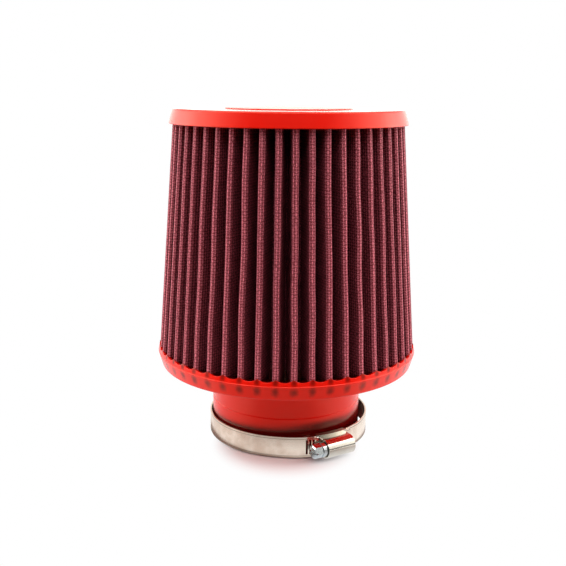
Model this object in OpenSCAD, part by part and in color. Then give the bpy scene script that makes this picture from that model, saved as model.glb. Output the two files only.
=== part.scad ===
// Cone air filter for an engine bay: a pleated gauze cone between a moulded neck
// with its flange and a moulded closed cap, with a worm drive clamp round the neck.
// The neck stands on z = 0, its axis is the Z axis, and the front is -Y.

/* [Neck] */
// Bore of the neck, which slips over the intake pipe
neck_bore_d = 80; // [60:1:90]
// Wall of the neck above the clamp seat
neck_wall = 3.5; // [2.5:0.1:6]
// Extra thickness of the wall on the clamp seat
seat_step = 0.4; // [0:0.1:1]
// Height of the clamp seat above the rim
seat_h = 21.8; // [15:0.1:28]
// Height of the neck, from its rim to the underside of the flange
neck_h = 43.8; // [36:0.1:60]
// Round in the corner between the neck and the flange
neck_fillet = 2; // [0.5:0.1:4]

/* [Flange] */
// Diameter of the flange at its lip
flange_d = 151.2; // [146:0.1:170]
// Height of the flange wall, from its underside to the lip
flange_h = 8.2; // [7:0.1:12]
// How far the flange wall leans in towards its underside
flange_draft = 2; // [0.5:0.1:3]
// Round on the lower edge of the flange
flange_round = 1.2; // [0.4:0.1:2]
// Height of the moulded ridges that climb the pleats above the lip
ridge_h = 4; // [2:0.1:6]
// Thickness of the floor round the mouth of the bore
floor_t = 6.2; // [4:0.1:7]
// Radius of the scoops between the ridges
scoop_r = 7; // [5:0.1:10]
// How far the floor of a scoop lies above the lip, at its outer end
scoop_floor = 2.1; // [1.5:0.1:3]
// How far the floor of a scoop falls towards the roots of the pleats
scoop_fall = 2.8; // [1:0.1:2.8]

/* [Cap] */
// Diameter of the cap at its lower edge
cap_d = 134.4; // [125:0.1:146]
// Height of the cap, without its boss
cap_h = 8.3; // [7:0.1:14]
// How far the cap wall leans in towards the top
cap_draft = 2; // [0.5:0.1:3]
// Round on the top edge of the cap
cap_round = 1.2; // [0.4:0.1:2]
// Thickness of the middle of the cap
cap_plate = 5; // [3:0.1:6.5]
// Diameter of the plain raised boss on the cap
boss_d = 72; // [40:1:90]
// Height of the plain raised boss
boss_h = 0.5; // [0.4:0.1:3]

/* [Pleats] */
// Number of pleats
pleat_n = 49; // [40:1:52]
// Height of the pleats that shows between the lip and the cap
pleat_h = 129.7; // [60:0.1:200]
// Depth of a pleat, from tip to root
pleat_depth = 17; // [12:0.1:20]
// Outer radius of the fold at a tip
tip_fold_r = 1.85; // [1.85:0.05:2.1]
// Outer radius of the fold at a root
root_fold_r = 1.9; // [1.85:0.05:2.1]
// Thickness of each wire screen
screen_t = 0.3; // [0.2:0.05:0.35]
// Thickness of the cotton gauze between the screens
gauze_t = 0.8; // [0.5:0.05:0.85]
// Slack between neighbouring layers
layer_gap = 0.05; // [0.03:0.01:0.07]
// How far the tips stand inside the flange at the lip
tip_inset = 0.8; // [0.8:0.1:2]
// How far the cap overhangs the tips
cap_overhang = 2.2; // [1.5:0.1:3]
// How deep the pleats sink into the flange below the lip
base_sink = 1.5; // [0.5:0.1:1.6]
// How deep the pleats sink into the cap
cap_sink = 4.8; // [2:0.1:5.5]
// Angle of one pleat tip from the front
pleat_turn = 2.9; // [0:0.1:7]

/* [Clamp] */
// Width of the band
band_w = 12; // [9:1:14]
// Thickness of the band
band_t = 0.8; // [0.6:0.1:1]
// Slack of the open clamp round the seat, on the radius
clamp_slack = 2.4; // [1.9:0.05:3]
// Gap on the side where the loose clamp lies nearest to the seat
clamp_gap = 0.9; // [0.2:0.05:0.9]
// Direction in which the open clamp is pushed, against the way of its screw
clamp_push = -42; // [-60:1:35]
// Angle of the clamp housing from the front
clamp_turn = 31.6; // [0:0.1:360]
// Length of the housing
housing_l = 17.5; // [15:0.1:21]
// Sheet thickness of the housing
housing_t = 0.6; // [0.5:0.1:0.8]
// How far the saddle under the housing reaches past it, below the head of the screw
saddle_lead = 2; // [0:0.5:6]
// Radius of the thread crest of the screw
thread_r = 4.6; // [4:0.1:5]
// Distance from one turn of the thread to the next
thread_pitch = 2; // [1.8:0.1:2.4]
// Width across the flats of the hexagon head
hex_af = 7; // [6:0.5:7.5]
// Length of the hexagon head
hex_l = 5.2; // [4:0.1:8]
// Turn of the hexagon head from point down
hex_turn = 40; // [0:1:60]
// Length of the collar between the head and the wall of the housing
collar_l = 3.8; // [2:0.1:5]
// How deep that wall stands inside the housing
end_recess = 1.2; // [0.4:0.1:2]
// Length of the band end that comes out of the housing
tail_l = 7; // [6:0.5:20]
// Length of the notched band from the middle of the housing to the ramp
notched_l = 16; // [14:1:24]

/* [Hidden] */
eps = 0.5;
round_fn = 120;
screw_fn = 96;
scoop_fn = 32;
round_steps = 4;
mouth_steps = 8;

// Neck and flange
bore_r = neck_bore_d / 2;
neck_r = bore_r + neck_wall;
seat_r = neck_r + seat_step;
rim_round = 0.8;
flange_r = flange_d / 2;
lip_z = neck_h + flange_h;
lip_round = 0.4;
lip_turn = 70;
ridge_z = lip_z + ridge_h;
ridge_out = 0.1;
ledge_in = 0.7;
floor_z = neck_h + floor_t;
flange_lean = atan(flange_draft / flange_h);

// Pleat pack
pack_t = 2 * screen_t + gauze_t + 2 * layer_gap;
tip_low_r = flange_r - tip_inset;
tip_top_r = cap_d / 2 - cap_overhang;
cap_z = lip_z + pleat_h;
pleat_low_z = lip_z - base_sink;
pleat_top_z = cap_z + cap_sink;
tip_slope = (tip_top_r - tip_low_r) / pleat_h;
tip_fold_steps = 4;
root_fold_steps = 2;
foot_skin = 1.3;
foot_r = tip_low_r - pleat_depth - foot_skin;
foot_slope = 2;
scoop_l = flange_r - tip_low_r + pleat_depth - pack_t;
scoop_lean = atan(scoop_fall / scoop_l);

// Cap
cap_r = cap_d / 2;
cap_top_z = cap_z + cap_h;
cap_in_r = tip_top_r - pleat_depth - foot_skin;
boss_r = boss_d / 2;
cap_lean = atan(cap_draft / cap_h);
boss_round = 0.2;
edge_round = 0.4;

// Clamp, in its own frame: axis on Z, band from z = 0, housing towards -Y
band_in_r = seat_r + clamp_slack;
push_l = clamp_slack - clamp_gap;
band_mid_r = band_in_r + band_t / 2;
ply_gap = 0.05;
lift = band_t + ply_gap;
tail_r = band_mid_r + lift;
flat_bend_ratio = 1.8;
tight_bend_ratio = 0.7;
flat_bend_r = band_mid_r * flat_bend_ratio;
tight_bend_r = band_mid_r * tight_bend_ratio;
tail_out_r = tail_r + band_t / 2;
passage_play = 0.05;
passage_over = 5;
shoulder_r = tail_out_r + passage_play + housing_t;
housing_half = asin(housing_l / 2 / shoulder_r);
saddle_start = 270 - housing_half - degrees(saddle_lead, shoulder_r);
saddle_lip = 2.4;
ramp_flat_a = acos((pow(flat_bend_r - band_mid_r, 2) + pow(flat_bend_r - tight_bend_r, 2)
              - pow(tail_r - tight_bend_r, 2))
              / (2 * (flat_bend_r - band_mid_r) * (flat_bend_r - tight_bend_r)));
ramp_a = asin((flat_bend_r - tight_bend_r) * sin(ramp_flat_a) / (tail_r - tight_bend_r));
ramp_end = 270 - degrees(notched_l + thread_pitch / 2, tail_r);
ramp_start = ramp_end - ramp_a;
over_l = notched_l + thread_pitch / 2;
tight_l = (ramp_a - ramp_flat_a) * PI / 180 * tight_bend_r;
flat_l = ramp_flat_a * PI / 180 * flat_bend_r;
ring_l = (ramp_start - saddle_start + 360) * PI / 180 * band_mid_r;
band_start = -over_l - tight_l - flat_l - ring_l;
band_end = housing_l / 2 + tail_l;
band_steps = 132;
screw_play = 0.1;
end_play = 0.1;
notch_l = 8.4;
notch_w = 1.2;
thread_bite = 0.42;
screw_r = tail_out_r - thread_bite + thread_r;
thread_depth = 0.8;
root_r = thread_r - thread_depth;
journal_r = 3;
journal_play = 0.05;
cavity_r = thread_r + screw_play;
arch_r = cavity_r + housing_t;
fold_z = housing_t;
wall_l = 1;
head_wall_x = -housing_l / 2 + end_recess;
far_wall_x = housing_l / 2 - wall_l;
thread_from = head_wall_x + wall_l + end_play;
thread_to = far_wall_x - end_play;
collar_x = head_wall_x - end_play;
collar_r = 4.1;
head_x = collar_x - collar_l;
thread_crest = 0.5;
thread_flank = 0.3;
hex_chamfer = 0.9;
hex_face_r = hex_af / 2 - 0.6;
stem_r = hex_af / 2 - 1;
slot_w = 1.2;
slot_depth = 1.6;

// Angle of a length l on a bend of radius r
function degrees(l, r) = l / r * 180 / PI;

// Points on a round, from angle a to angle b
function arc(x, z, r, a, b, steps) =
    [for (i = [0 : steps]) let (t = a + (b - a) * i / steps) [x + r * cos(t), z + r * sin(t)]];

// Angle at which the flank of a pleat leaves its folds, for a tip at radius r
function flank_angle(r) =
    let (half = 180 / pleat_n,
         dx = (r - pleat_depth + root_fold_r) * cos(half) - (r - tip_fold_r),
         dy = (r - pleat_depth + root_fold_r) * sin(half))
    atan2(dy, dx) - acos((tip_fold_r + root_fold_r - pack_t) / norm([dx, dy]));

// One fold: an arc about a centre at radius c on the ray at angle a
function fold(c, a, r, from, to, steps, z) =
    [for (i = [0 : steps]) let (t = a + from + (to - from) * i / steps)
        [c * cos(a) + r * cos(t), c * sin(a) + r * sin(t), z]];

// The whole ring of folds at height z, on the surface that lies depth d inside the pack
function pleat_ring(z, d) =
    let (r = tip_low_r + tip_slope * (z - lip_z), flank = flank_angle(r), half = 180 / pleat_n)
    [for (k = [0 : pleat_n - 1]) let (a = pleat_turn - 90 + 2 * half * k)
        each concat(
            fold(r - tip_fold_r, a, tip_fold_r - d, -flank, flank, tip_fold_steps, z),
            fold(r - pleat_depth + root_fold_r, a + half, root_fold_r - pack_t + d,
                 180 + flank - half, 180 - flank + half, root_fold_steps, z))];

// A pleated layer between the depths d0 and d1 of the pack
module pleated_layer(d0, d1) {
    low_out = pleat_ring(pleat_low_z, d0);
    low_in = pleat_ring(pleat_low_z, d1);
    top_out = pleat_ring(pleat_top_z, d0);
    top_in = pleat_ring(pleat_top_z, d1);
    m = len(low_out);
    faces = [for (i = [0 : m - 1]) let (j = (i + 1) % m) each [
        [i, 2 * m + i, 2 * m + j], [i, 2 * m + j, j],
        [m + i, m + j, 3 * m + j], [m + i, 3 * m + j, 3 * m + i],
        [2 * m + i, 3 * m + i, 3 * m + j], [2 * m + i, 3 * m + j, 2 * m + j],
        [i, j, m + j], [i, m + j, m + i]]];
    polyhedron(points = concat(low_out, low_in, top_out, top_in), faces = faces, convexity = 10);
}

// Half section of the neck and flange
module base_section() {
    polygon(concat(
        [[bore_r, 0]],
        arc(seat_r - rim_round, rim_round, rim_round, 270, 360, round_steps),
        [[seat_r, seat_h - seat_step], [neck_r, seat_h]],
        arc(neck_r + neck_fillet, neck_h - neck_fillet, neck_fillet, 180, 90, round_steps),
        arc(flange_r - flange_draft - flange_round, neck_h + flange_round, flange_round,
            -90, -flange_lean, round_steps),
        arc(flange_r - lip_round, lip_z - lip_round, lip_round, -flange_lean, lip_turn, round_steps),
        [[tip_low_r + ridge_out, ridge_z - ledge_in], [tip_low_r - ledge_in, ridge_z]],
        [[foot_r + edge_round, ridge_z], [foot_r, ridge_z - edge_round]],
        [[foot_r, floor_z + foot_slope], [foot_r - foot_slope, floor_z]],
        arc(bore_r + floor_t, neck_h, floor_t, 90, 180, mouth_steps)));
}

// Moulded neck and flange, with a scoop between each two pleat tips
module base_moulding() {
    color("red") difference() {
        rotate_extrude($fn = round_fn) base_section();
        for (k = [0 : pleat_n - 1])
            rotate([0, 0, pleat_turn - 90 + 360 / pleat_n * (k + 0.5)])
                translate([flange_r, 0, lip_z + scoop_floor + scoop_r])
                    rotate([0, -90 - scoop_lean, 0])
                        translate([0, 0, -scoop_r])
                            cylinder(r = scoop_r, h = scoop_l + scoop_r, $fn = scoop_fn);
    }
}

// Half section of the cap
module cap_section() {
    polygon(concat(
        [[0, cap_top_z - cap_plate], [cap_in_r - foot_slope, cap_top_z - cap_plate]],
        [[cap_in_r, cap_top_z - cap_plate - foot_slope], [cap_in_r, cap_z]],
        arc(cap_r - edge_round, cap_z + edge_round, edge_round, -90, cap_lean, round_steps),
        arc(cap_r - cap_draft - cap_round, cap_top_z - cap_round, cap_round, cap_lean, 90, round_steps),
        [[boss_r, cap_top_z]],
        arc(boss_r - boss_round, cap_top_z + boss_h - boss_round, boss_round, 0, 90, round_steps),
        [[0, cap_top_z + boss_h]]));
}

// Moulded closed cap with a plain round boss
module top_cap() {
    color("red") rotate_extrude($fn = round_fn) cap_section();
}

// Fine wire screen on the outside of the pleats
module outer_screen() {
    color("palevioletred") pleated_layer(0, screen_t);
}

// Oiled cotton gauze between the two screens
module gauze_media() {
    color("maroon") pleated_layer(screen_t + layer_gap, screen_t + layer_gap + gauze_t);
}

// Fine wire screen on the inside of the pleats
module inner_screen() {
    color("rosybrown") pleated_layer(pack_t - screen_t, pack_t);
}

// Puts a clamp piece round the neck, where the loose clamp lies off centre
module on_neck() {
    rotate([0, 0, clamp_turn])
        translate([push_l * cos(clamp_push), push_l * sin(clamp_push), fold_z]) children();
}

// Place on the middle of the band, by its length s from the middle of the housing:
// distance and ray of the bend's centre, radius of the bend, and angle on the bend
function band_at(s) =
    s > -over_l
        ? [0, 0, tail_r, 270 + degrees(s, tail_r)]
        : s > -over_l - tight_l
            ? [tail_r - tight_bend_r, ramp_end, tight_bend_r, ramp_end + degrees(s + over_l, tight_bend_r)]
            : s > -over_l - tight_l - flat_l
                ? [band_mid_r - flat_bend_r, ramp_start, flat_bend_r,
                   ramp_start + ramp_flat_a + degrees(s + over_l + tight_l, flat_bend_r)]
                : [0, 0, band_mid_r, ramp_start + degrees(s + over_l + tight_l + flat_l, band_mid_r)];

// Point at the distance out from the middle of the band
function band_point(s, out) =
    let (b = band_at(s))
    [b[0] * cos(b[1]) + (b[2] + out) * cos(b[3]), b[0] * sin(b[1]) + (b[2] + out) * sin(b[3])];

// Stands a piece on the middle of the band, with X outwards
module at_band(s) {
    b = band_at(s);
    translate([b[0] * cos(b[1]), b[0] * sin(b[1]), 0])
        rotate([0, 0, b[3]]) translate([b[2], 0, 0]) children();
}

// Steel band in one piece: the ring, the ramp over its fixed end, and the notched tail
module clamp_band() {
    places = [for (i = [0 : band_steps]) band_start + (band_end - band_start) * i / band_steps];
    color("silver") on_neck() difference() {
        linear_extrude(height = band_w)
            polygon(concat(
                [for (i = [0 : band_steps]) band_point(places[i], band_t / 2)],
                [for (i = [0 : band_steps]) band_point(places[band_steps - i], -band_t / 2)]));
        for (k = [-floor(notched_l / thread_pitch) : floor((band_end - band_w / 3) / thread_pitch)])
            at_band(k * thread_pitch)
                translate([-band_t, -notch_w / 2, (band_w - notch_l) / 2])
                    cube([2 * band_t, notch_w, notch_l]);
        at_band(band_end) translate([0, 0, band_w / 2]) tail_corners();
    }
}

// What is cut away beside the round end of the tail
module tail_corners() {
    rotate([0, 90, 0]) translate([0, 0, -band_t])
        difference() {
            translate([-band_w, -band_w / 2, 0]) cube([2 * band_w, band_w, 2 * band_t]);
            translate([0, -band_w / 2, -eps]) cylinder(d = band_w, h = 2 * band_t + 2 * eps, $fn = screw_fn);
        }
}

// Lies along the screw, which points away from its head
module along_screw(s) {
    translate([s, -screw_r, band_w / 2]) rotate([0, 90, 0]) children();
}

// Bent bar of the clamp: a section from r0 to r1 and z0 to z1, between two angles
module bent_bar(r0, r1, z0, z1, from, to) {
    rotate([0, 0, from])
        rotate_extrude(angle = to - from, $fn = round_fn)
            translate([r0, z0]) square([r1 - r0, z1 - z0]);
}

// Folded sheet housing: its saddle wraps both edges of the band, and it arches over the screw
module clamp_housing() {
    passage_in_r = band_in_r - passage_play;
    passage_out_r = tail_out_r + passage_play;
    color("gainsboro") on_neck() difference() {
        union() {
            bent_bar(passage_in_r - housing_t, shoulder_r, -fold_z, band_w + fold_z,
                     saddle_start, 270 + housing_half);
            along_screw(-housing_l / 2) cylinder(r = arch_r, h = housing_l, $fn = screw_fn);
            translate([-housing_l / 2, -screw_r, band_w / 2 - arch_r])
                cube([housing_l, screw_r - band_mid_r * cos(housing_half), 2 * arch_r]);
        }
        bent_bar(passage_in_r, passage_out_r, -passage_play, band_w + passage_play,
                 saddle_start - passage_over, 270 + housing_half + passage_over);
        bent_bar(tail_r, shoulder_r + eps, saddle_lip, band_w - saddle_lip,
                 saddle_start - passage_over, 270 - housing_half);
        screw_room(-housing_l / 2 - eps, head_wall_x);
        screw_room(head_wall_x + wall_l, far_wall_x);
        along_screw(-housing_l / 2 - eps)
            cylinder(r = journal_r + journal_play, h = housing_l + 2 * eps, $fn = screw_fn);
    }
}

// Room for the screw in the arch, open towards the band
module screw_room(from, to) {
    along_screw(from) cylinder(r = cavity_r, h = to - from, $fn = screw_fn);
    translate([from, -screw_r, band_w / 2 - cavity_r])
        cube([to - from, screw_r - band_mid_r, 2 * cavity_r]);
}

// Worm screw: a slotted hexagon head on a turned stem with a collar, a thread and two journals
module clamp_screw() {
    color("lightsteelblue") on_neck() difference() {
        union() {
            along_screw(0) rotate_extrude($fn = screw_fn) stem_section();
            along_screw(head_x - hex_l) rotate([0, 0, hex_turn]) hex_head();
        }
        translate([head_x - hex_l - eps, -screw_r - hex_af, (band_w - slot_w) / 2])
            cube([slot_depth + eps, 2 * hex_af, slot_w]);
    }
}

// Half section of the stem. Each turn of the thread stands over a notch of the band
module stem_section() {
    foot = thread_crest / 2 + thread_flank;
    turns = [ceil((thread_from + foot) / thread_pitch) : floor((thread_to - foot) / thread_pitch)];
    polygon(concat(
        [[0, head_x - eps], [stem_r, head_x - eps], [stem_r, head_x], [collar_r, head_x]],
        [[collar_r, collar_x], [journal_r, collar_x], [journal_r, thread_from], [root_r, thread_from]],
        [for (k = turns) let (x = k * thread_pitch) each [
            [root_r, x - foot], [thread_r, x - thread_crest / 2],
            [thread_r, x + thread_crest / 2], [root_r, x + foot]]],
        [[root_r, thread_to], [journal_r, thread_to]],
        [[journal_r, housing_l / 2], [0, housing_l / 2]]));
}

// Hexagon with its outer corners turned off
module hex_head() {
    intersection() {
        cylinder(d = hex_af / cos(30), h = hex_l, $fn = 6);
        rotate_extrude($fn = screw_fn)
            polygon([[0, 0], [hex_face_r, 0], [hex_face_r + 2 * hex_chamfer, hex_chamfer],
                     [hex_face_r + 2 * hex_chamfer, hex_l], [0, hex_l]]);
    }
}

base_moulding();
top_cap();
outer_screen();
gauze_media();
inner_screen();
clamp_band();
clamp_housing();
clamp_screw();
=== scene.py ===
import math
import random

import bpy
from mathutils import Matrix


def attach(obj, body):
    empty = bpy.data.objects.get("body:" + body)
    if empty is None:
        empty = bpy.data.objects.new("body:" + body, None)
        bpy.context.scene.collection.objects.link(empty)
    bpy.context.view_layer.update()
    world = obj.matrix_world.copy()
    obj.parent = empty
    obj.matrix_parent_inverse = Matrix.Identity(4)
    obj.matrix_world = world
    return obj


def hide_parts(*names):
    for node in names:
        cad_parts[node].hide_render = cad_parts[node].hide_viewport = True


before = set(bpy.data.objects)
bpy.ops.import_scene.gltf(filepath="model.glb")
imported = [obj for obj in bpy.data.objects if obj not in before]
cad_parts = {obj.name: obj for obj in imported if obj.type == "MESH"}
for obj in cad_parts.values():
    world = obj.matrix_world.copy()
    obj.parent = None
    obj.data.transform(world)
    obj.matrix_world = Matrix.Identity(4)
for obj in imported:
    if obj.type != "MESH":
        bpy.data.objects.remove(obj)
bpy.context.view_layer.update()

# Sizes of the object in metres, as in the solids
MM = 0.001
SEAT_TOP_Z = 21.4 * MM
LIP_R = 75.6 * MM
LIP_Z = 52 * MM
PLEATS = 49
PLEAT_H = 129.7 * MM
PLEAT_DEPTH = 17 * MM
CAP_R = 67.2 * MM
CAP_Z = LIP_Z + PLEAT_H
CAP_TOP_Z = CAP_Z + 8.3 * MM
BOSS_R = 36 * MM
PLEAT_TURN = 2.9
HALF_FOLD = math.pi / PLEATS
FIRST_TIP = math.radians(PLEAT_TURN - 90)
TIP_LOW_R = LIP_R - 0.8 * MM
TIP_TOP_R = CAP_R - 2.2 * MM
TIP_SLOPE = (TIP_TOP_R - TIP_LOW_R) / PLEAT_H
TIP_FOLD = 1.85 * MM
ROOT_FOLD = 1.9 * MM
SCREEN_T = 0.3 * MM
GAUZE_T = 0.8 * MM
LAYER_GAP = 0.05 * MM
PACK_T = 2 * SCREEN_T + GAUZE_T + 2 * LAYER_GAP
PLEAT_LOW_Z = LIP_Z - 1.5 * MM
PLEAT_TOP_Z = CAP_Z + 4.8 * MM

# How finely the pleats are meshed
TIP_STEPS = 8
FLANK_STEPS = 3
ROOT_STEPS = 4
PLEAT_ROWS = 30

# How far a pleat strays sideways, the waves it does so in, and the share of it that is held at each end
SWAY = 0.22 * MM
SWAY_SEED = 7
SWAY_WAVES = 2
SWAY_LENGTHS = (0.035, 0.11)
SWAY_SIZES = (0.3, 1)
SWAY_HOLD = 1 / 6

# A pair named EDGES, or ENDS where it runs along the axis, says where a mask begins and where it is full

# Dark marks where the ends of the pleats show through: spots in the wall, streaks on the ridges
SPOT_Z = 48.9 * MM
SPOT_R = 3.2 * MM
SPOT_STRETCH = 0.8
SPOT_STRAY = 0.6 * SPOT_R
SPOT_GRAIN = 400
SPOT_STRENGTH = 0.8
STREAK_EDGES = (2.4 * MM, 0.2 * MM)
STREAK_ENDS = (LIP_Z - 0.8 * MM, LIP_Z + 1.6 * MM)
STREAK_STRENGTH = 0.8

# The moulded red
RED_LOW = (0.86, 0.006, 0.002, 1)
RED_HIGH = (0.92, 0.010, 0.003, 1)
PLEAT_END_RED = (0.16, 0.002, 0.001, 1)
# Painted shade in the scoops between the pleats, above the lip
VALLEY_SHADE_RED = (0.05, 0.001, 0.001, 1)
# Painted shade on the neck just above the clamp's band, darker where something stands near
CLAMP_SHADE_RED = (0.14, 0.001, 0.001, 1)
CLAMP_SHADE_REACH = 16 * MM
CLAMP_SHADE_EDGES = (0.985, 0.80)
CLAMP_SHADE_ENDS = (SEAT_TOP_Z - 0.1 * MM, 17 * MM)
VALLEY_SHADE_EDGES = (-0.6 * MM, 2.2 * MM)
VALLEY_SHADE_ENDS = (LIP_Z - 2.2 * MM, LIP_Z - 1.6 * MM)
CAP_TOP_ENDS = (CAP_TOP_Z - 0.4 * MM, CAP_TOP_Z - 0.1 * MM)
CAP_TOP_ROUGHNESS = 0.07
BOSS_EDGES = (BOSS_R, BOSS_R + 3 * MM)
RED_ROUGHNESS = (0.18, 0.26)
RED_EDGE_R = 0.4 * MM
FINE_GRAIN = 0.35

# The screens and the gauze
WIRE_PITCH = 1.52 * MM
WARP_EDGES = (-0.2, 1.4)
WEFT_EDGES = (0.0, 1.6)
WEFT_STRENGTH = 0.7
# Painted highlight on the crests of the pleats and painted shade on their flanks, by how deep a point lies
# in the pack
LIT_CREST_EDGES = (1.7 * MM, 0.1 * MM)
GLINT_EDGES = (0.30, 0.55)
GLINT_METAL = 0.1
SPECKLE_HEIGHT = 0.6
# Colours of the painted shade on the flanks and of the painted highlight on the crests
SHADED_FLANK_LOW = (0.050, 0.006, 0.010, 1)
SHADED_FLANK_HIGH = (0.085, 0.010, 0.016, 1)
SHADED_FLANK_WIRE = (0.38, 0.07, 0.10, 1)
LIT_CREST_BASE = (0.22, 0.030, 0.045, 1)
LIT_CREST_WIRE = (0.90, 0.23, 0.30, 1)
GAUZE_LOW = (0.12, 0.008, 0.012, 1)
GAUZE_HIGH = (0.30, 0.03, 0.04, 1)

# The steels
BAND_LOW = (0.75, 0.58, 0.47, 1)
BAND_HIGH = (1.0, 0.87, 0.75, 1)
BAND_LINE = (0.48, 0.41, 0.34, 1)
BAND_LINES_Z = (1.7 * MM, 11.5 * MM)
LINE_EDGES = (0.3 * MM, 0.1 * MM)
HOUSING_LOW = (0.66, 0.61, 0.54, 1)
HOUSING_HIGH = (0.80, 0.76, 0.69, 1)
ZINC_LOW = (0.54, 0.59, 0.63, 1)
ZINC_HIGH = (0.72, 0.77, 0.80, 1)
CLOUD_EDGES = (0.35, 0.65)
MARK_STRETCH = 0.03
MARK_ROUGHNESS = 0.14

# The floor: half its width, and its front edge, just outside the picture, beyond which the room is dark.
# Tones are what it throws back, and edges are distances from the axis, or shares of such a distance.
FLOOR = 3.0
FLOOR_FRONT = -0.165
# What the camera sees of the lit floor is darker and pink: painted shadow and painted red bounce light
FLOOR_SEEN_PAINTED_BOUNCE = (0.62, 0.54, 0.57, 1)
FLOOR_SIDE_TONE = 0.7
FLOOR_FRONT_TONE = 0.46
FLOOR_FRONT_MIRRORED = 0.22
FLOOR_NEAR_TONE = 0.28
NEAR_EDGES = (0.085, 0.055)
BESIDE_EDGES = (0.5, 0.95)
SHADOW_LEAN = 0.5
SHADOW_EDGES = (0.026, 0.038)
GLOW_FRONT = 0.75
GLOW_LEAN = 0.8
GLOW_EDGES = (0.048, 0.080)
CLAMP_EDGES = (0.049, 0.052)

# The light round the object. Each step has a start and an end, as shares of the way to the front, and the
# amount that it adds. FRONTS are such shares too, and HEIGHTS are shares of the way up. Low down, the shares
# of the way to the front are shifted.
LEAST_LENGTH = 0.001
FRONT_LEVEL = 0.08
LEVEL_STEPS = ((0.85, 0.35, 1.0), (0.5, 0.0, 1.45), (-0.3, -0.95, -2.1))
LOW_FRONT_SHIFT = 0.35
LOW_FRONT_HEIGHTS = (0.35, 0.0)
ABOVE_LEVEL = 4.1
ABOVE_HEIGHTS = (0.58, 0.82)
ZENITH_LOSS = 3.2
ZENITH_HEIGHTS = (0.90, 0.97)
BEHIND_LEVEL = 2.0
BEHIND_FRONTS = (-0.5, -0.9)
BEHIND_HEIGHTS = (0.28, 0.14)
BESIDE_LEVEL = 2.5
BESIDE_FRONTS = ((0.60, 0.35), (-0.5, -0.2))
BESIDE_HEIGHTS = ((-0.02, 0.06), (0.32, 0.20))
BACKDROP_FRONTS = (-0.15, -0.4)
BACKDROP_HEIGHTS = (0.5, 0.35)
LIGHT_TINT = (1.0, 0.97, 0.90, 1)
WHITE = (1, 1, 1, 1)

# How finely the rounded edges and the painted shade by the clamp are worked out
BEVEL_SAMPLES = 6
CLAMP_SHADE_SAMPLES = 16

# The photograph's camera
IMAGE_PX = 566
FOCAL_PX = 845.4
SENSOR_MM = 36
CAMERA_PLACE = (-2.37 * MM, -484.8 * MM, 200.9 * MM)
CAMERA_PITCH = 0.226
CAMERA_ROLL = 0.009
CAMERA_CLIP = 0.01


# Node trees

class Shader:
    """Builds the nodes of a material or world. An input is a number, a colour, or another node's output."""

    def __init__(self, owner):
        self.owner = owner
        owner.use_nodes = True
        self.tree = owner.node_tree
        self.tree.nodes.clear()

    def add(self, kind, inputs=None, output=0, **settings):
        made = self.tree.nodes.new(kind)
        for key, value in settings.items():
            setattr(made, key, value)
        for key, value in (inputs or {}).items():
            if isinstance(value, bpy.types.NodeSocket):
                self.tree.links.new(value, made.inputs[key])
            else:
                made.inputs[key].default_value = value
        return made.outputs[output] if made.outputs else made

    def math(self, operation, first, second=0.0, third=0.0):
        return self.add("ShaderNodeMath", {0: first, 1: second, 2: third}, operation=operation)

    def plus(self, first, second):
        return self.math("ADD", first, second)

    def minus(self, first, second):
        return self.math("SUBTRACT", first, second)

    def times(self, first, second):
        return self.math("MULTIPLY", first, second)

    def scaled(self, value, factor, start):
        """Start plus the value times the factor."""
        return self.math("MULTIPLY_ADD", value, factor, start)

    def larger(self, first, second):
        return self.math("MAXIMUM", first, second)

    def absolute(self, value):
        return self.math("ABSOLUTE", value)

    def cosine(self, value):
        return self.math("COSINE", value)

    def length(self, first, second):
        return self.math("SQRT", self.plus(self.times(first, first), self.times(second, second)))

    def blend(self, factor, low, high):
        """Between two colours."""
        return self.add("ShaderNodeMix", {0: factor, 6: low, 7: high}, output=2, data_type="RGBA")

    def mix(self, factor, low, high):
        """Between two numbers."""
        return self.add("ShaderNodeMix", {0: factor, 2: low, 3: high}, data_type="FLOAT")

    def step(self, value, start, end):
        """0 at the start, 1 at the end, smooth between. The start may be the higher one."""
        return self.add("ShaderNodeMapRange", {"Value": value, "From Min": start, "From Max": end},
                        interpolation_type="SMOOTHSTEP")

    def ramp(self, value, start, end):
        """Start where the value is 0, end where it is 1."""
        return self.add("ShaderNodeMapRange", {"Value": value, "To Min": start, "To Max": end})

    def noise(self, place, scale, detail=2.0, roughness=0.5):
        return self.add("ShaderNodeTexNoise", {
            "Vector": place, "Scale": scale, "Detail": detail, "Roughness": roughness}, output="Fac")

    def bump(self, height, distance, strength=1.0, normal=None):
        inputs = {"Height": height, "Distance": distance, "Strength": strength}
        if normal:
            inputs["Normal"] = normal
        return self.add("ShaderNodeBump", inputs)

    def edges(self, radius):
        """Normals of a surface whose sharp edges are rounded this much."""
        return self.add("ShaderNodeBevel", {"Radius": radius}, samples=BEVEL_SAMPLES)

    def open_air(self, reach):
        """1 on an open surface, less where something stands within reach."""
        return self.add("ShaderNodeAmbientOcclusion", {"Distance": reach}, output="AO",
                        samples=CLAMP_SHADE_SAMPLES)

    def place(self):
        return self.add("ShaderNodeTexCoord", output="Object")

    def split(self, vector):
        made = self.tree.nodes.new("ShaderNodeSeparateXYZ")
        self.tree.links.new(vector, made.inputs[0])
        return made.outputs

    def sight(self):
        """Two numbers: 1 for what the camera sees itself, and 1 for what gloss or glass shows."""
        made = self.tree.nodes.new("ShaderNodeLightPath")
        mirrored = self.larger(made.outputs["Is Glossy Ray"], made.outputs["Is Transmission Ray"])
        return made.outputs["Is Camera Ray"], mirrored

    def finish(self, inputs):
        """Ends the tree in a Principled BSDF with these inputs."""
        surface = self.add("ShaderNodeBsdfPrincipled", inputs)
        self.add("ShaderNodeOutputMaterial", {"Surface": surface})
        return self.owner


def new_material(name):
    return Shader(bpy.data.materials.new(name))


# Materials

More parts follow.
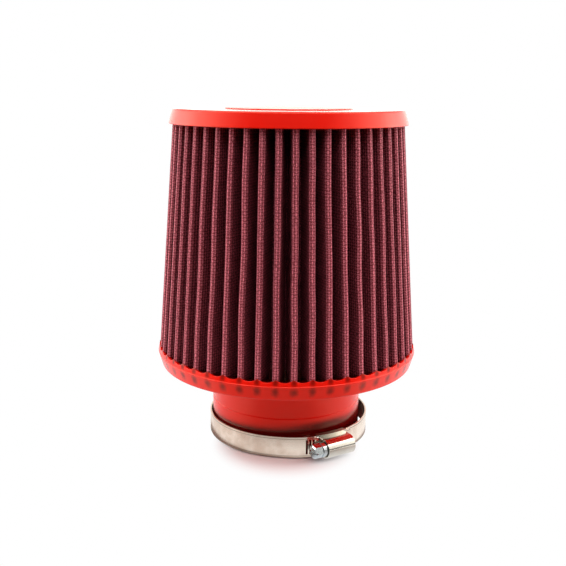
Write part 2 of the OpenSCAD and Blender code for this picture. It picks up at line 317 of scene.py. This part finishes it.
def beside_tip(shader, x, y):
    """Distance along the flange from the nearest pleat tip."""
    turn = shader.minus(shader.math("ARCTAN2", y, x), FIRST_TIP)
    return shader.times(shader.math("WRAP", turn, HALF_FOLD, -HALF_FOLD), LIP_R)


def tip_depth(shader, place):
    """How far a point lies inside the cone that the pleat tips touch."""
    x, y, z = shader.split(place)
    tip = shader.scaled(z, TIP_SLOPE, TIP_LOW_R - TIP_SLOPE * LIP_Z)
    return shader.minus(tip, shader.length(x, y))


def pleat_ends(shader, place):
    """How much the end of a pleat shows through the moulding, in the flange's wall and on its ridges."""
    x, y, z = shader.split(place)
    beside = beside_tip(shader, x, y)
    below = shader.times(shader.minus(z, SPOT_Z), SPOT_STRETCH)
    stray = shader.times(shader.minus(shader.noise(place, SPOT_GRAIN), 0.5), SPOT_STRAY)
    spot = shader.step(shader.plus(shader.length(beside, below), stray), SPOT_R, 0.0)
    streak = shader.times(shader.step(shader.absolute(beside), *STREAK_EDGES), shader.step(z, *STREAK_ENDS))
    return shader.larger(shader.times(spot, SPOT_STRENGTH), shader.times(streak, STREAK_STRENGTH))


def base_red(shader, place, colour):
    """The base's colour: pleat ends show through, and painted shade darkens it between the pleats and by the
    clamp.
    """
    z = shader.split(place)[2]
    colour = shader.blend(pleat_ends(shader, place), colour, PLEAT_END_RED)
    # Painted shade between the pleats, inside the cone that the tips touch
    valley_shade = shader.times(shader.step(tip_depth(shader, place), *VALLEY_SHADE_EDGES), shader.step(z, *VALLEY_SHADE_ENDS))
    colour = shader.blend(valley_shade, colour, VALLEY_SHADE_RED)
    # Painted shade on the neck by the clamp, darker where the surface is closed in
    clamp_shade = shader.step(shader.open_air(CLAMP_SHADE_REACH), *CLAMP_SHADE_EDGES)
    return shader.blend(shader.times(clamp_shade, shader.step(z, *CLAMP_SHADE_ENDS)), colour, CLAMP_SHADE_RED)


def cap_roughness(shader, place, rough):
    """The cap's roughness: its top is smoother round the boss."""
    x, y, z = shader.split(place)
    top = shader.times(shader.step(z, *CAP_TOP_ENDS), shader.step(shader.length(x, y), *BOSS_EDGES))
    return shader.mix(top, rough, CAP_TOP_ROUGHNESS)


def moulded_red(name, base=False):
    """Red polyurethane, for the base or the cap."""
    shader = new_material(name)
    place = shader.place()
    cloud = shader.noise(place, scale=60, detail=3)
    colour = shader.blend(cloud, RED_LOW, RED_HIGH)
    rough = shader.ramp(cloud, *RED_ROUGHNESS)
    if base:
        colour = base_red(shader, place, colour)
    else:
        rough = cap_roughness(shader, place, rough)
    fine = shader.noise(place, scale=1800)
    height = shader.plus(shader.times(fine, FINE_GRAIN), shader.noise(place, scale=140))
    return shader.finish({
        "Base Color": colour,
        "Roughness": rough,
        "Normal": shader.bump(height, distance=0.05 * MM, strength=0.4, normal=shader.edges(RED_EDGE_R)),
        "Specular IOR Level": 0.4,
        "Specular Tint": (1.0, 0.95, 0.72, 1),
        "Subsurface Weight": 0.15,
        "Subsurface Radius": (1.0, 0.08, 0.04),
        "Subsurface Scale": 2.5 * MM})


def weave(shader):
    """1 on the wires of a plain weave, 0 in its holes. The weft lies lower than the warp."""
    u, v, _ = shader.split(shader.add("ShaderNodeUVMap", uv_map="weave"))
    across = shader.times(u, math.pi / WIRE_PITCH)
    along = shader.times(v, math.pi / WIRE_PITCH)
    over = shader.times(shader.cosine(across), shader.cosine(along))
    warp = shader.plus(shader.cosine(shader.times(across, 2)), over)
    weft = shader.minus(shader.cosine(shader.times(along, 2)), over)
    weft_wires = shader.times(shader.step(weft, *WEFT_EDGES), WEFT_STRENGTH)
    return shader.larger(shader.step(warp, *WARP_EDGES), weft_wires)


def woven_screen(name):
    """Wire screen over the oiled gauze. The crests of the pleats carry a painted highlight and their flanks
    painted shade.
    """
    shader = new_material(name)
    place = shader.place()
    wires = weave(shader)
    speckle = shader.noise(place, scale=1500, detail=2, roughness=0.6)
    cloud = shader.noise(place, scale=45, detail=3)
    # Painted highlight on the crests, painted shade on the flanks
    lit_crest = shader.step(tip_depth(shader, place), *LIT_CREST_EDGES)
    glint = shader.times(wires, shader.step(speckle, *GLINT_EDGES))
    base = shader.blend(lit_crest, shader.blend(cloud, SHADED_FLANK_LOW, SHADED_FLANK_HIGH), LIT_CREST_BASE)
    wire = shader.blend(lit_crest, SHADED_FLANK_WIRE, LIT_CREST_WIRE)
    height = shader.plus(wires, shader.times(speckle, SPECKLE_HEIGHT))
    return shader.finish({
        "Base Color": shader.blend(glint, base, wire),
        "Roughness": 0.5,
        "Metallic": shader.times(glint, GLINT_METAL),
        "Normal": shader.bump(height, distance=0.25 * MM, strength=0.9),
        "Specular IOR Level": 0.15})


def oiled_gauze(name):
    shader = new_material(name)
    threads = shader.noise(shader.place(), scale=2400, detail=3, roughness=0.6)
    return shader.finish({
        "Base Color": shader.blend(threads, GAUZE_LOW, GAUZE_HIGH),
        "Roughness": 0.8,
        "Normal": shader.bump(threads, distance=0.2 * MM),
        "Specular IOR Level": 0.2})


def rolled_steel(name, low, high, rough, lines=()):
    """Bright steel with fine marks that run level, and darker lines at these heights."""
    shader = new_material(name)
    place = shader.place()
    x, y, z = shader.split(place)
    stretched = shader.add("ShaderNodeCombineXYZ", {
        0: shader.times(x, MARK_STRETCH), 1: shader.times(y, MARK_STRETCH), 2: z})
    marks = shader.noise(stretched, scale=5200, detail=4, roughness=0.7)
    cloud = shader.noise(place, scale=60, detail=3)
    colour = shader.blend(shader.step(cloud, *CLOUD_EDGES), low, high)
    for height in lines:
        line = shader.step(shader.absolute(shader.minus(z, height)), *LINE_EDGES)
        colour = shader.blend(line, colour, BAND_LINE)
    return shader.finish({
        "Base Color": colour,
        "Metallic": 1.0,
        "Roughness": shader.ramp(marks, rough, rough + MARK_ROUGHNESS),
        "Normal": shader.bump(marks, distance=0.02 * MM, strength=0.4)})


# Meshes

def new_piece(name, points, faces, material, uvs):
    """A smooth piece with a place in the weave for each point."""
    mesh = bpy.data.meshes.new(name)
    mesh.from_pydata(points, [], faces)
    layer = mesh.uv_layers.new(name="weave")
    layer.data.foreach_set("uv", [c for loop in mesh.loops for c in uvs[loop.vertex_index]])
    mesh.polygons.foreach_set("use_smooth", [True] * len(mesh.polygons))
    mesh.materials.append(material)
    piece = bpy.data.objects.new(name, mesh)
    bpy.context.scene.collection.objects.link(piece)
    return piece


def arc(centre, ray, radius, start, end, steps):
    """Points on an arc whose centre lies at a distance from the axis on a ray."""
    points = []
    for i in range(steps + 1):
        turn = ray + start + (end - start) * i / steps
        points.append((centre * math.cos(ray) + radius * math.cos(turn),
                       centre * math.sin(ray) + radius * math.sin(turn)))
    return points


def between(first, last, steps):
    """The points inside a straight stretch."""
    return [(first[0] + (last[0] - first[0]) * i / steps, first[1] + (last[1] - first[1]) * i / steps)
            for i in range(1, steps)]


def fold_ring(z, depth):
    """One ring of folds at a height, on the surface that lies this deep in the pack."""
    r = TIP_LOW_R + TIP_SLOPE * (z - LIP_Z)
    tip_centre = r - TIP_FOLD
    root_centre = r - PLEAT_DEPTH + ROOT_FOLD
    dx = root_centre * math.cos(HALF_FOLD) - tip_centre
    dy = root_centre * math.sin(HALF_FOLD)
    flank = math.atan2(dy, dx) - math.acos((TIP_FOLD + ROOT_FOLD - PACK_T) / math.hypot(dx, dy))
    ring = []
    for k in range(PLEATS):
        ray = FIRST_TIP + 2 * HALF_FOLD * k
        tip = arc(tip_centre, ray, TIP_FOLD - depth, -flank, flank, TIP_STEPS)
        root = arc(root_centre, ray + HALF_FOLD, ROOT_FOLD - PACK_T + depth,
                   math.pi + flank - HALF_FOLD, math.pi - flank + HALF_FOLD, ROOT_STEPS)
        next_tip = arc(tip_centre, ray + 2 * HALF_FOLD, TIP_FOLD - depth, -flank, flank, TIP_STEPS)[0]
        ring += tip + between(tip[-1], root[0], FLANK_STEPS)
        ring += root + between(root[-1], next_tip, FLANK_STEPS)
    return ring


def sway_table():
    """For each pleat, the size, length and phase of the slow waves by which it strays from straight."""
    draw = random.Random(SWAY_SEED)
    return [[(draw.uniform(*SWAY_SIZES), draw.uniform(*SWAY_LENGTHS), draw.uniform(0, 2 * math.pi))
             for _ in range(SWAY_WAVES)] for _ in range(PLEATS)]


def swayed(x, y, z, table):
    """A point of the pack moved sideways with its pleat. The ends in the mouldings stay put."""
    share = (z - PLEAT_LOW_Z) / (PLEAT_TOP_Z - PLEAT_LOW_Z)
    hold = min(1, min(share, 1 - share) / SWAY_HOLD)
    place = (math.atan2(y, x) - FIRST_TIP) * PLEATS / (2 * math.pi) % PLEATS
    pleat = int(place)
    part = place - pleat
    part = part * part * (3 - 2 * part)
    moves = [sum(size * math.sin(2 * math.pi * z / length + phase)
                 for size, length, phase in table[k % PLEATS]) for k in (pleat, pleat + 1)]
    turn = hold * SWAY * (moves[0] * (1 - part) + moves[1] * part) / TIP_LOW_R
    return (x * math.cos(turn) - y * math.sin(turn), x * math.sin(turn) + y * math.cos(turn), z)


def pleated_surface(depth, table):
    """Points and weave places of one surface of the pack, row by row from the bottom."""
    low = fold_ring(PLEAT_LOW_Z, depth)
    lengths = [0.0]
    for i in range(1, len(low)):
        lengths.append(lengths[-1] + math.dist(low[i - 1], low[i]))
    points = []
    uvs = []
    for row in range(PLEAT_ROWS + 1):
        z = PLEAT_LOW_Z + (PLEAT_TOP_Z - PLEAT_LOW_Z) * row / PLEAT_ROWS
        points += [swayed(x, y, z, table) for x, y in fold_ring(z, depth)]
        uvs += [(length, z) for length in lengths]
    return points, uvs


def sheet_faces(columns):
    """Faces that close two surfaces, the outer one first, into a sheet with rims."""
    inside = columns * (PLEAT_ROWS + 1)
    top = PLEAT_ROWS * columns
    faces = []
    for i in range(columns):
        j = (i + 1) % columns
        for row in range(PLEAT_ROWS):
            a = row * columns + i
            b = row * columns + j
            faces.append((a, b, b + columns, a + columns))
            faces.append((inside + b, inside + a, inside + a + columns, inside + b + columns))
        faces.append((i, inside + i, inside + j, j))
        faces.append((top + i, top + j, inside + top + j, inside + top + i))
    return faces


def pleated_layer(name, node, outer, inner, material):
    """A closed pleated sheet between two depths of the pack."""
    table = sway_table()
    points, uvs = pleated_surface(outer, table)
    inner_points, inner_uvs = pleated_surface(inner, table)
    columns = len(points) // (PLEAT_ROWS + 1)
    piece = new_piece(name, points + inner_points, sheet_faces(columns), material, uvs + inner_uvs)
    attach(piece, "filter")
    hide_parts(node)


def dress(node, material):
    """Gives a solid of the frame its material."""
    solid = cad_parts[node]
    solid.data.materials.clear()
    solid.data.materials.append(material)


# Setting

def floor_material():
    """White, with the object's shadow near it, where the camera sees it darker and pink as painted shadow
    and painted red bounce light. To the camera and in gloss it turns into a white backdrop.
    """
    shader = new_material("floor_white")
    x, y, _ = shader.split(shader.place())
    away = shader.length(x, y)
    near = shader.step(away, *NEAR_EDGES)
    beside = shader.step(shader.math("DIVIDE", shader.absolute(x), away), *BESIDE_EDGES)
    seen, mirrored = shader.sight()

    front_tone = shader.ramp(mirrored, FLOOR_FRONT_TONE, FLOOR_FRONT_MIRRORED)
    tone = shader.scaled(beside, shader.minus(FLOOR_SIDE_TONE, front_tone), front_tone)
    tone = shader.mix(near, tone, FLOOR_NEAR_TONE)
    # To the camera the lit floor is darker and pink: painted shadow and painted red bounce light
    lit = shader.add("ShaderNodeBsdfDiffuse", {"Color": shader.blend(seen, tone, FLOOR_SEEN_PAINTED_BOUNCE)})

    seen_backdrop = shader.step(shader.scaled(y, SHADOW_LEAN, away), *SHADOW_EDGES)
    glow = shader.times(near, shader.scaled(beside, 1 - GLOW_FRONT, GLOW_FRONT))
    glow = shader.larger(glow, shader.step(shader.scaled(y, GLOW_LEAN, away), *GLOW_EDGES))
    mirrored_backdrop = shader.times(glow, shader.step(away, *CLAMP_EDGES))
    share = shader.larger(shader.times(seen, seen_backdrop), shader.times(mirrored, mirrored_backdrop))
    white = shader.add("ShaderNodeEmission", {"Color": WHITE, "Strength": 1.0})
    surface = shader.add("ShaderNodeMixShader", {0: share, 1: lit, 2: white})
    shader.add("ShaderNodeOutputMaterial", {"Surface": surface})
    return shader.owner


def make_floor():
    mesh = bpy.data.meshes.new("floor")
    corners = [(-FLOOR, FLOOR_FRONT, 0), (FLOOR, FLOOR_FRONT, 0), (FLOOR, FLOOR, 0), (-FLOOR, FLOOR, 0)]
    mesh.from_pydata(corners, [], [(0, 1, 2, 3)])
    mesh.materials.append(floor_material())
    floor = bpy.data.objects.new("floor", mesh)
    bpy.context.scene.collection.objects.link(floor)


def make_world():
    """White to the camera, and white behind in gloss. Its light is dim in front, brighter elsewhere."""
    shader = Shader(bpy.data.worlds.new("studio"))
    x, y, z = shader.split(shader.add("ShaderNodeTexCoord", output="Generated"))
    # Straight above and below, the least length keeps the division from a zero
    level_length = shader.larger(shader.length(x, y), LEAST_LENGTH)
    front = shader.math("DIVIDE", shader.times(y, -1.0), level_length)
    front = shader.scaled(shader.step(z, *LOW_FRONT_HEIGHTS), LOW_FRONT_SHIFT, front)
    level = FRONT_LEVEL
    for start, end, amount in LEVEL_STEPS:
        level = shader.scaled(shader.step(front, start, end), amount, level)

    above = shader.scaled(shader.step(z, *ZENITH_HEIGHTS), -ZENITH_LOSS, ABOVE_LEVEL)
    level = shader.mix(shader.step(z, *ABOVE_HEIGHTS), level, above)
    behind = shader.times(shader.step(front, *BEHIND_FRONTS), shader.step(z, *BEHIND_HEIGHTS))
    level = shader.scaled(behind, BEHIND_LEVEL, level)
    beside = shader.times(*[shader.step(front, *edges) for edges in BESIDE_FRONTS])
    low = shader.times(*[shader.step(z, *edges) for edges in BESIDE_HEIGHTS])
    level = shader.scaled(shader.times(beside, low), BESIDE_LEVEL, level)

    seen, mirrored = shader.sight()
    backdrop = shader.times(shader.step(front, *BACKDROP_FRONTS), shader.step(z, *BACKDROP_HEIGHTS))
    level = shader.larger(level, shader.times(mirrored, backdrop))
    level = shader.mix(seen, level, 1.0)
    tint = shader.blend(seen, LIGHT_TINT, WHITE)
    light = shader.add("ShaderNodeBackground", {"Color": tint, "Strength": level})
    shader.add("ShaderNodeOutputWorld", {"Surface": light})
    bpy.context.scene.world = shader.owner


def make_camera():
    camera = bpy.data.cameras.new("camera")
    camera.sensor_width = SENSOR_MM
    camera.lens = FOCAL_PX / IMAGE_PX * SENSOR_MM
    camera.clip_start = CAMERA_CLIP
    stand = bpy.data.objects.new("camera", camera)
    turn = Matrix.Rotation(math.pi / 2 - CAMERA_PITCH, 4, "X") @ Matrix.Rotation(CAMERA_ROLL, 4, "Z")
    stand.matrix_world = Matrix.Translation(CAMERA_PLACE) @ turn
    bpy.context.scene.collection.objects.link(stand)
    bpy.context.scene.camera = stand


# The object

screen = woven_screen("woven_screen")
gauze = oiled_gauze("oiled_gauze")

dress("base_moulding", moulded_red("moulded_red", base=True))
dress("top_cap", moulded_red("moulded_red_cap"))
dress("clamp_band", rolled_steel("band_steel", BAND_LOW, BAND_HIGH, rough=0.16, lines=BAND_LINES_Z))
dress("clamp_housing", rolled_steel("housing_steel", HOUSING_LOW, HOUSING_HIGH, rough=0.08))
dress("clamp_screw", rolled_steel("zinc_plate", ZINC_LOW, ZINC_HIGH, rough=0.14))

gauze_depth = SCREEN_T + LAYER_GAP
pleated_layer("pleated_outer_screen", "outer_screen", 0, SCREEN_T, screen)
pleated_layer("pleated_gauze", "gauze_media", gauze_depth, gauze_depth + GAUZE_T, gauze)
pleated_layer("pleated_inner_screen", "inner_screen", PACK_T - SCREEN_T, PACK_T, screen)

# The scene

make_floor()
make_world()
make_camera()
bpy.context.scene.view_settings.view_transform = "Standard"
